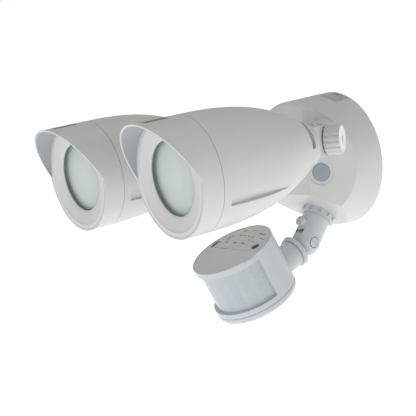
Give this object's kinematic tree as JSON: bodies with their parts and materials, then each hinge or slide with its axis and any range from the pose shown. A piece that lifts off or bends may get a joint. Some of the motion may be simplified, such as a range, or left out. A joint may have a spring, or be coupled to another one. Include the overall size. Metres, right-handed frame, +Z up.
{
  "type": "twin-head security floodlight with motion sensor",
  "caption": "Wall light with hooded LED lamp heads on clamped swivel necks and a pitched motion sensor head on a jointed arm.",
  "frame": {"origin": "centre of the mounting plate's back face, on the wall plane", "axes": "+Z up, -Y away from the wall along the lamps, +X towards the lamp that is nearer in the picture"},
  "size_m": [0.2506, 0.267, 0.197],
  "materials": {
    "painted_housing": "off-white satin powder coat",
    "sensor_plastic": "cool white moulded plastic",
    "lens_plastic": "milky translucent polyethylene",
    "glass": "frosted back face, green edge",
    "bezel": "off-white satin powder coat",
    "knob_plastic": "off-white moulded nylon",
    "knob_cap": "white moulded cap",
    "plug_rubber": "blue-grey moulded plug",
    "gasket": "black foam rubber",
    "zinc_steel": "zinc plated",
    "heat_sink": "die-cast",
    "reflector": "vacuum metallised",
    "board_white": "white solder mask",
    "board_green": "green solder mask",
    "led": "yellow phosphor",
    "driver": "potted driver case",
    "terminal": "white terminal block",
    "label": "silver film with plain printed marks",
    "face": "light grey moulded face",
    "dark": "dark moulded inlay"
  },
  "bodies": {
    "base": {"canopy_housing": "painted_housing", "canopy_gasket": "gasket", "mounting_plate": "zinc_steel", "canopy_screws": "zinc_steel", "access_plugs": "plug_rubber", "led_driver": "driver", "terminal_block": "terminal", "rating_label": "label", "sensor_locknut": "sensor_plastic"},
    "right_mount": {"right_neck": "painted_housing", "right_neck_nut": "zinc_steel", "right_pivot_bolt": "zinc_steel"},
    "right_knob": {"right_knob": "knob_plastic", "right_knob_cap": "knob_cap"},
    "right_arm": {"right_swivel_arm": "painted_housing", "right_swivel_nut": "zinc_steel"},
    "right_lamp": {"right_lamp_body": "painted_housing", "right_hood": "painted_housing", "right_badge": "dark", "right_bezel": "bezel", "right_glass": "glass", "right_gasket": "gasket", "right_reflector": "reflector", "right_led_board": "board_white", "right_led": "led", "right_heat_sink": "heat_sink"},
    "left_mount": {"left_neck": "painted_housing", "left_neck_nut": "zinc_steel", "left_pivot_bolt": "zinc_steel"},
    "left_knob": {"left_knob": "knob_plastic", "left_knob_cap": "knob_cap"},
    "left_arm": {"left_swivel_arm": "painted_housing", "left_swivel_nut": "zinc_steel"},
    "left_lamp": {"left_lamp_body": "painted_housing", "left_hood": "painted_housing", "left_badge": "dark", "left_bezel": "bezel", "left_glass": "glass", "left_gasket": "gasket", "left_reflector": "reflector", "left_led_board": "board_white", "left_led": "led", "left_heat_sink": "heat_sink"},
    "sensor_arm": {"sensor_arm": "sensor_plastic", "sensor_arm_nut": "zinc_steel", "arm_lock_screw": "zinc_steel", "elbow_screw": "zinc_steel"},
    "sensor_link": {"sensor_link": "sensor_plastic"},
    "sensor_head": {"sensor_housing": "sensor_plastic", "sensor_bottom_cap": "sensor_plastic", "sensor_lens": "lens_plastic", "sensor_face": "face", "sensor_label": "label", "sensor_board": "board_green", "pyro_sensor": "zinc_steel"},
    "time_dial": {"time_dial": "dark"},
    "mode_switch": {"mode_switch": "dark"}
  },
  "joints": [
    {"name": "right_neck_turn", "type": "hinge", "parent": "base", "child": "right_mount", "pos_m": [0.03838, -0.04473, 0.0245], "axis": [0.5548, -0.832, 0], "range_deg": [-20, 12]},
    {"name": "right_tilt", "type": "hinge", "parent": "right_mount", "child": "right_arm", "pos_m": [0.06748, -0.07341, 0.0245], "axis": [0.832, 0.5548, 0], "range_deg": [-25, 15]},
    {"name": "right_lamp_turn", "type": "hinge", "parent": "right_arm", "child": "right_lamp", "pos_m": [0.07644, -0.23988, 0.0154], "axis": [-0.0174, -0.9976, -0.0663], "range_deg": [-20, 20]},
    {"name": "right_clamp_knob", "type": "hinge", "parent": "right_mount", "child": "right_knob", "pos_m": [0.06748, -0.07341, 0.0245], "axis": [0.832, 0.5548, 0], "range_deg": [0, 270]},
    {"name": "left_neck_turn", "type": "hinge", "parent": "base", "child": "left_mount", "pos_m": [-0.03838, -0.04473, 0.0245], "axis": [0.5548, 0.832, 0], "range_deg": [-20, 12]},
    {"name": "left_tilt", "type": "hinge", "parent": "left_mount", "child": "left_arm", "pos_m": [-0.06748, -0.07341, 0.0245], "axis": [0.832, -0.5548, 0], "range_deg": [-25, 15]},
    {"name": "left_lamp_turn", "type": "hinge", "parent": "left_arm", "child": "left_lamp", "pos_m": [-0.07644, -0.23988, 0.0154], "axis": [-0.0174, 0.9976, 0.0663], "range_deg": [-20, 20]},
    {"name": "left_clamp_knob", "type": "hinge", "parent": "left_mount", "child": "left_knob", "pos_m": [-0.06748, -0.07341, 0.0245], "axis": [0.832, -0.5548, 0], "range_deg": [0, 270]},
    {"name": "sensor_arm_turn", "type": "hinge", "parent": "base", "child": "sensor_arm", "pos_m": [0, -0.02822, -0.04788], "axis": [0, -0.6157, -0.788], "range_deg": [-15, 15]},
    {"name": "sensor_elbow", "type": "hinge", "parent": "sensor_arm", "child": "sensor_link", "pos_m": [0, -0.04792, -0.07309], "axis": [1, 0, 0], "range_deg": [-10, 22]},
    {"name": "sensor_head_turn", "type": "hinge", "parent": "sensor_link", "child": "sensor_head", "pos_m": [0, -0.04792, -0.07309], "axis": [0, -0.9135, -0.4067], "range_deg": [-25, 25]},
    {"name": "time_dial_turn", "type": "hinge", "parent": "sensor_head", "child": "time_dial", "pos_m": [0.02626, -0.12664, -0.06116], "axis": [0, -0.4067, 0.9135], "range_deg": [-135, 135]},
    {"name": "mode_switch_slide", "type": "slide", "parent": "sensor_head", "child": "mode_switch", "axis": [0, -0.9135, -0.4067], "range_m": [-0.0022, 0.0022]}
  ]
}
